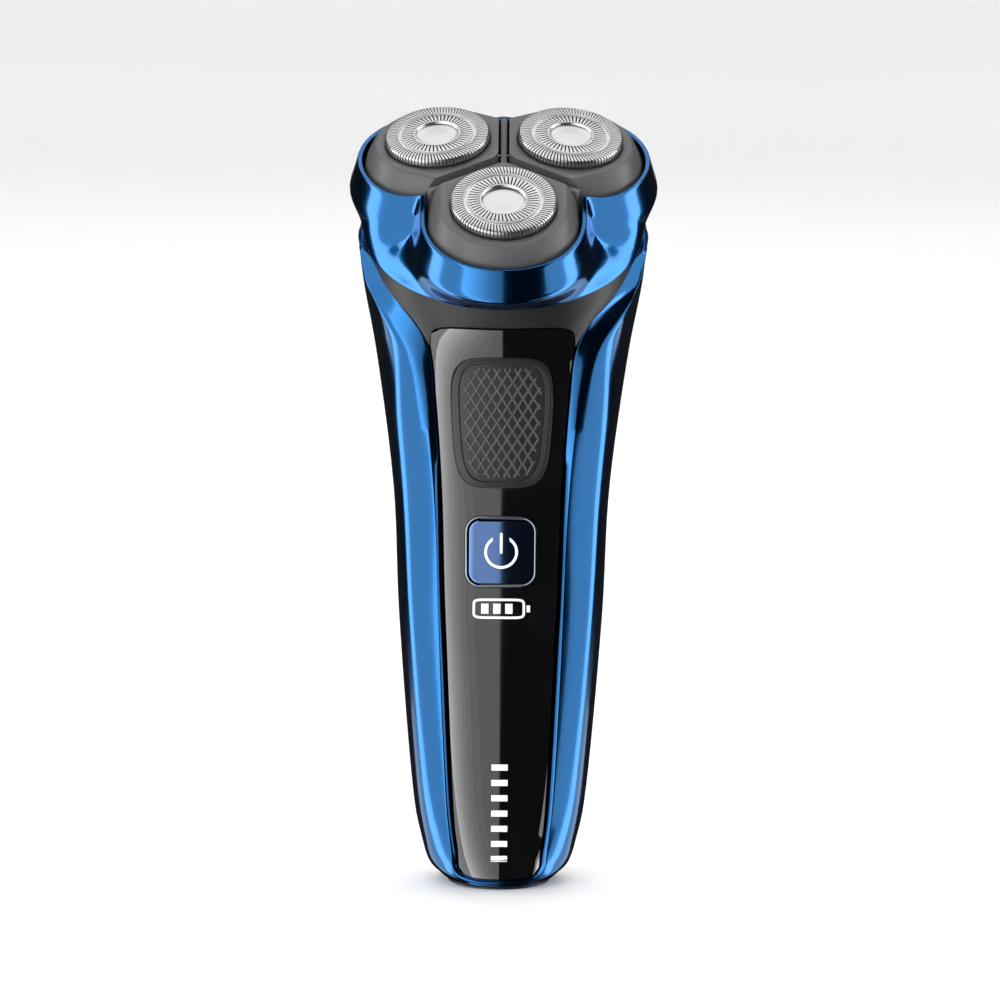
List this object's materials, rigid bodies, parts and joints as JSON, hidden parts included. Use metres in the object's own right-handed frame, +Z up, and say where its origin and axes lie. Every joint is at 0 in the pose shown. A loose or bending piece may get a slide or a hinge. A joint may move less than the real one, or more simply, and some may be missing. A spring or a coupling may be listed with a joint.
{
  "type": "electric shaver",
  "caption": "Rotary electric shaver standing on its foot: tapered handle with a power button and grip pad, and a pull-off leaning head with tilting pods and slotted guards.",
  "frame": {"origin": "centre line of the handle on the underside of the foot", "axes": "+Z up, the front with the button and panel faces -Y, +X to the viewer's right"},
  "size_m": [0.0644, 0.0608, 0.1634],
  "materials": {
    "blue_lacquer": "high gloss metallic blue",
    "rear_black": "satin black",
    "panel_gloss": "piano black",
    "collar_grey": "fine matt",
    "grip_rubber": "matt, knurled",
    "bezel_chrome": "polished",
    "button_blue": "gloss metallic",
    "print_white": "printed",
    "plated_steel": "plated",
    "board_green": "solder resist",
    "frame_grey": "moulded",
    "bridge_grey": "satin",
    "cell_wrap": "shrink sleeve",
    "socket_black": "moulded",
    "light_lens": "frosted",
    "magnet_iron": "sintered",
    "rotor_copper": "wound",
    "gear_nylon": "moulded nylon",
    "seal_rubber": "soft",
    "pod_grey": "satin",
    "shaver_steel": "ground and polished",
    "spindle_black": "moulded"
  },
  "bodies": {
    "handle": {"side_frame": "blue_lacquer", "rear_cover": "rear_black", "front_panel": "panel_gloss", "collar": "collar_grey", "base_plate": "rear_black", "grip_pad": "grip_rubber", "button_bezel": "bezel_chrome", "tact_switch": "plated_steel", "circuit_board": "board_green", "chassis": "frame_grey", "battery_cell": "cell_wrap", "battery_tabs": "plated_steel", "charge_socket": "socket_black", "socket_pins": "plated_steel", "charge_light": "light_lens", "motor_can": "plated_steel", "motor_magnets": "magnet_iron", "motor_end_cap": "frame_grey", "gear_plate": "frame_grey", "gear_pins": "plated_steel", "top_deck": "frame_grey", "deck_seal": "seal_rubber", "spindle_seals": "seal_rubber", "deck_screws": "plated_steel"},
    "button": {"power_button": "button_blue", "power_symbol": "print_white"},
    "rotor": {"rotor": "rotor_copper", "sun_gear": "gear_nylon"},
    "head": {"head_ring": "blue_lacquer", "pod_carrier": "frame_grey", "head_bridge": "bridge_grey", "hair_chamber": "frame_grey"},
    "gear_front": {"drive_gear_front": "gear_nylon", "spindle_spring_front": "plated_steel"},
    "spindle_front": {"spindle_front": "spindle_black"},
    "pod_front": {"pod_front": "pod_grey", "cutter_holder_front": "spindle_black"},
    "guard_front": {"guard_front": "shaver_steel"},
    "cutter_front": {"cutter_front": "shaver_steel", "cutter_hub_front": "gear_nylon"},
    "gear_right": {"drive_gear_right": "gear_nylon", "spindle_spring_right": "plated_steel"},
    "spindle_right": {"spindle_right": "spindle_black"},
    "pod_right": {"pod_right": "pod_grey", "cutter_holder_right": "spindle_black"},
    "guard_right": {"guard_right": "shaver_steel"},
    "cutter_right": {"cutter_right": "shaver_steel", "cutter_hub_right": "gear_nylon"},
    "gear_left": {"drive_gear_left": "gear_nylon", "spindle_spring_left": "plated_steel"},
    "spindle_left": {"spindle_left": "spindle_black"},
    "pod_left": {"pod_left": "pod_grey", "cutter_holder_left": "spindle_black"},
    "guard_left": {"guard_left": "shaver_steel"},
    "cutter_left": {"cutter_left": "shaver_steel", "cutter_hub_left": "gear_nylon"}
  },
  "joints": [
    {"name": "head_lift", "type": "slide", "parent": "handle", "child": "head", "axis": [0, -0.4695, 0.8829], "range_m": [0, 0.025]},
    {"name": "button_press", "type": "slide", "parent": "handle", "child": "button", "axis": [0, 1, 0], "range_m": [0, 0.0006], "stiffness_N_per_m": 600},
    {"name": "rotor_spin", "type": "hinge", "parent": "handle", "child": "rotor", "pos_m": [0, -0.00085, 0.138], "axis": [0, -0.4695, 0.8829], "continuous": true},
    {"name": "gear_spin_front", "type": "hinge", "parent": "handle", "child": "gear_front", "pos_m": [0, -0.01454, 0.13072], "axis": [0, -0.4695, 0.8829], "continuous": true},
    {"name": "spindle_press_front", "type": "slide", "parent": "gear_front", "child": "spindle_front", "axis": [0, 0.4695, -0.8829], "range_m": [0, 0.001], "deforming": ["spindle_spring_front"]},
    {"name": "pod_tilt_front", "type": "hinge", "parent": "head", "child": "pod_front", "pos_m": [0, -0.02087, 0.14264], "axis": [1, 0, 0], "range_deg": [-3, 3], "stiffness_Nm_per_rad": 0.05},
    {"name": "guard_press_front", "type": "slide", "parent": "pod_front", "child": "guard_front", "axis": [0, 0.5446, -0.8387], "range_m": [0, 0.001], "stiffness_N_per_m": 400, "springref_m": -0.001},
    {"name": "cutter_spin_front", "type": "hinge", "parent": "guard_front", "child": "cutter_front", "pos_m": [0, -0.02087, 0.14264], "axis": [0, -0.5446, 0.8387], "continuous": true},
    {"name": "gear_spin_right", "type": "hinge", "parent": "handle", "child": "gear_right", "pos_m": [0.01342, 0.00599, 0.14164], "axis": [0, -0.4695, 0.8829], "continuous": true},
    {"name": "spindle_press_right", "type": "slide", "parent": "gear_right", "child": "spindle_right", "axis": [0, 0.4695, -0.8829], "range_m": [0, 0.001], "deforming": ["spindle_spring_right"]},
    {"name": "pod_tilt_right", "type": "hinge", "parent": "head", "child": "pod_right", "pos_m": [0.01342, -0.00034, 0.15356], "axis": [-0.5, 0.7647, 0.4066], "range_deg": [-3, 3], "stiffness_Nm_per_rad": 0.05},
    {"name": "guard_press_right", "type": "slide", "parent": "pod_right", "child": "guard_right", "axis": [-0.0755, 0.4292, -0.9], "range_m": [0, 0.001], "stiffness_N_per_m": 400, "springref_m": -0.001},
    {"name": "cutter_spin_right", "type": "hinge", "parent": "guard_right", "child": "cutter_right", "pos_m": [0.01342, -0.00034, 0.15356], "axis": [0.0755, -0.4292, 0.9], "continuous": true},
    {"name": "gear_spin_left", "type": "hinge", "parent": "handle", "child": "gear_left", "pos_m": [-0.01342, 0.00599, 0.14164], "axis": [0, -0.4695, 0.8829], "continuous": true},
    {"name": "spindle_press_left", "type": "slide", "parent": "gear_left", "child": "spindle_left", "axis": [0, 0.4695, -0.8829], "range_m": [0, 0.001], "deforming": ["spindle_spring_left"]},
    {"name": "pod_tilt_left", "type": "hinge", "parent": "head", "child": "pod_left", "pos_m": [-0.01342, -0.00034, 0.15356], "axis": [-0.5, -0.7647, -0.4066], "range_deg": [-3, 3], "stiffness_Nm_per_rad": 0.05},
    {"name": "guard_press_left", "type": "slide", "parent": "pod_left", "child": "guard_left", "axis": [0.0755, 0.4292, -0.9], "range_m": [0, 0.001], "stiffness_N_per_m": 400, "springref_m": -0.001},
    {"name": "cutter_spin_left", "type": "hinge", "parent": "guard_left", "child": "cutter_left", "pos_m": [-0.01342, -0.00034, 0.15356], "axis": [-0.0755, -0.4292, 0.9], "continuous": true}
  ],
  "couplings": [
    {"joint": "gear_spin_front", "follows": "rotor_spin", "ratio": -0.9375},
    {"joint": "cutter_spin_front", "follows": "rotor_spin", "ratio": -0.9375},
    {"joint": "spindle_press_front", "follows": "guard_press_front", "ratio": 1},
    {"joint": "gear_spin_right", "follows": "rotor_spin", "ratio": -0.9375},
    {"joint": "cutter_spin_right", "follows": "rotor_spin", "ratio": -0.9375},
    {"joint": "spindle_press_right", "follows": "guard_press_right", "ratio": 1},
    {"joint": "gear_spin_left", "follows": "rotor_spin", "ratio": -0.9375},
    {"joint": "cutter_spin_left", "follows": "rotor_spin", "ratio": -0.9375},
    {"joint": "spindle_press_left", "follows": "guard_press_left", "ratio": 1}
  ]
}
